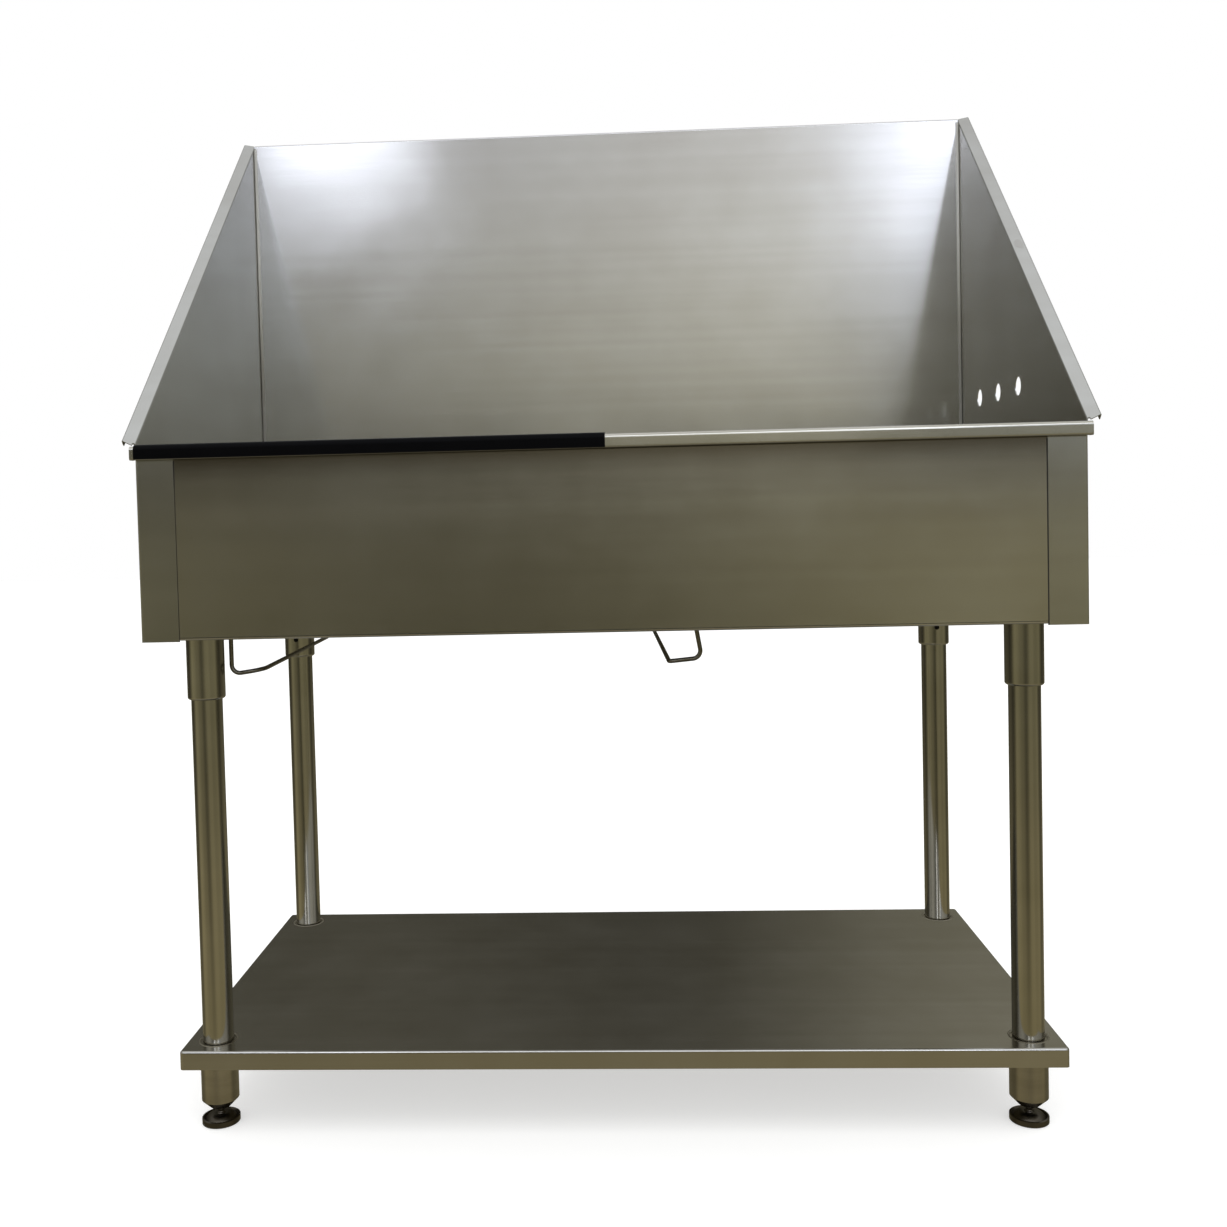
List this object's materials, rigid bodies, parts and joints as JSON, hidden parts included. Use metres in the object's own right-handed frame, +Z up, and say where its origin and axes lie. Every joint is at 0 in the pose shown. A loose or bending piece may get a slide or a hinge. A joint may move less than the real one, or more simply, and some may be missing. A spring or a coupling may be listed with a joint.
{
  "type": "utility laundry sink",
  "caption": "Free-standing stainless laundry sink with a wide bowl, sloping sides, a tall splash back, a shelf between tubular legs and screw feet.",
  "frame": {"origin": "on the floor, under the middle of the whole sink's bounding box", "axes": "+X to the sink's right seen from in front, +Y from the front to the back, +Z up"},
  "size_m": [1.2572, 0.6306, 1.4812],
  "materials": {
    "brushed_sheet": "stainless sheet, brushed along its length",
    "shelf_sheet": "thinner stainless sheet, brushed along its length",
    "tube_steel": "stainless tube, polished with streaks along the tube",
    "foot_steel": "turned stainless steel",
    "stem_steel": "threaded stainless steel",
    "screw_steel": "black oxide steel",
    "rod_steel": "plain drawn rod",
    "drain_steel": "polished stainless pressing",
    "locknut_brass": "cast brass, dull",
    "fibre_washer": "pressed fibre",
    "putty": "plumber's putty",
    "seal_rubber": "black rubber",
    "trim_rubber": "smooth black rubber",
    "tread_rubber": "black rubber"
  },
  "bodies": {
    "sink_frame": {"back_panel": "brushed_sheet", "left_side_panel": "brushed_sheet", "right_side_panel": "brushed_sheet", "front_panel": "brushed_sheet", "front_rim": "brushed_sheet", "rim_edge_trim": "trim_rubber", "basin_floor": "brushed_sheet", "drain_body": "drain_steel", "drain_putty_ring": "putty", "drain_gasket": "seal_rubber", "drain_washer": "fibre_washer", "drain_locknut": "locknut_brass", "left_channel": "brushed_sheet", "right_channel": "brushed_sheet", "leg_socket_front_left": "tube_steel", "leg_socket_front_right": "tube_steel", "leg_socket_back_left": "tube_steel", "leg_socket_back_right": "tube_steel", "socket_set_screws": "screw_steel", "leg_front_left": "tube_steel", "leg_front_right": "tube_steel", "leg_back_left": "tube_steel", "leg_back_right": "tube_steel", "shelf": "shelf_sheet", "shelf_stiffener": "shelf_sheet", "foot_sleeve_front_left": "foot_steel", "foot_sleeve_front_right": "foot_steel", "foot_sleeve_back_left": "foot_steel", "foot_sleeve_back_right": "foot_steel", "left_hanger_rod": "rod_steel", "centre_hanger_rod": "rod_steel"},
    "strainer": {"strainer_basket": "drain_steel", "strainer_stopper": "seal_rubber", "strainer_knob": "drain_steel"},
    "foot_front_left": {"foot_pad_front_left": "foot_steel", "foot_tread_front_left": "tread_rubber"},
    "stem_front_left": {"foot_stem_front_left": "stem_steel"},
    "foot_front_right": {"foot_pad_front_right": "foot_steel", "foot_tread_front_right": "tread_rubber"},
    "stem_front_right": {"foot_stem_front_right": "stem_steel"},
    "foot_back_left": {"foot_pad_back_left": "foot_steel", "foot_tread_back_left": "tread_rubber"},
    "stem_back_left": {"foot_stem_back_left": "stem_steel"},
    "foot_back_right": {"foot_pad_back_right": "foot_steel", "foot_tread_back_right": "tread_rubber"},
    "stem_back_right": {"foot_stem_back_right": "stem_steel"}
  },
  "joints": [
    {"name": "basket_lift", "type": "slide", "parent": "sink_frame", "child": "strainer", "axis": [0, 0, 1], "range_m": [0, 0.12]},
    {"name": "foot_travel_front_left", "type": "slide", "parent": "sink_frame", "child": "foot_front_left", "axis": [0, 0, 1], "range_m": [-0.025, 0.006]},
    {"name": "foot_turn_front_left", "type": "hinge", "parent": "foot_front_left", "child": "stem_front_left", "pos_m": [-0.546, -0.2403, 0], "axis": [0, 0, 1], "range_deg": [-5150, 1240]},
    {"name": "foot_travel_front_right", "type": "slide", "parent": "sink_frame", "child": "foot_front_right", "axis": [0, 0, 1], "range_m": [-0.025, 0.006]},
    {"name": "foot_turn_front_right", "type": "hinge", "parent": "foot_front_right", "child": "stem_front_right", "pos_m": [0.546, -0.2403, 0], "axis": [0, 0, 1], "range_deg": [-5150, 1240]},
    {"name": "foot_travel_back_left", "type": "slide", "parent": "sink_frame", "child": "foot_back_left", "axis": [0, 0, 1], "range_m": [-0.025, 0.006]},
    {"name": "foot_turn_back_left", "type": "hinge", "parent": "foot_back_left", "child": "stem_back_left", "pos_m": [-0.546, 0.2553, 0], "axis": [0, 0, 1], "range_deg": [-5150, 1240]},
    {"name": "foot_travel_back_right", "type": "slide", "parent": "sink_frame", "child": "foot_back_right", "axis": [0, 0, 1], "range_m": [-0.025, 0.006]},
    {"name": "foot_turn_back_right", "type": "hinge", "parent": "foot_back_right", "child": "stem_back_right", "pos_m": [0.546, 0.2553, 0], "axis": [0, 0, 1], "range_deg": [-5150, 1240]}
  ],
  "couplings": [
    {"joint": "foot_turn_front_left", "follows": "foot_travel_front_left", "rad_per_m": 3590.4},
    {"joint": "foot_turn_front_right", "follows": "foot_travel_front_right", "rad_per_m": 3590.4},
    {"joint": "foot_turn_back_left", "follows": "foot_travel_back_left", "rad_per_m": 3590.4},
    {"joint": "foot_turn_back_right", "follows": "foot_travel_back_right", "rad_per_m": 3590.4}
  ]
}
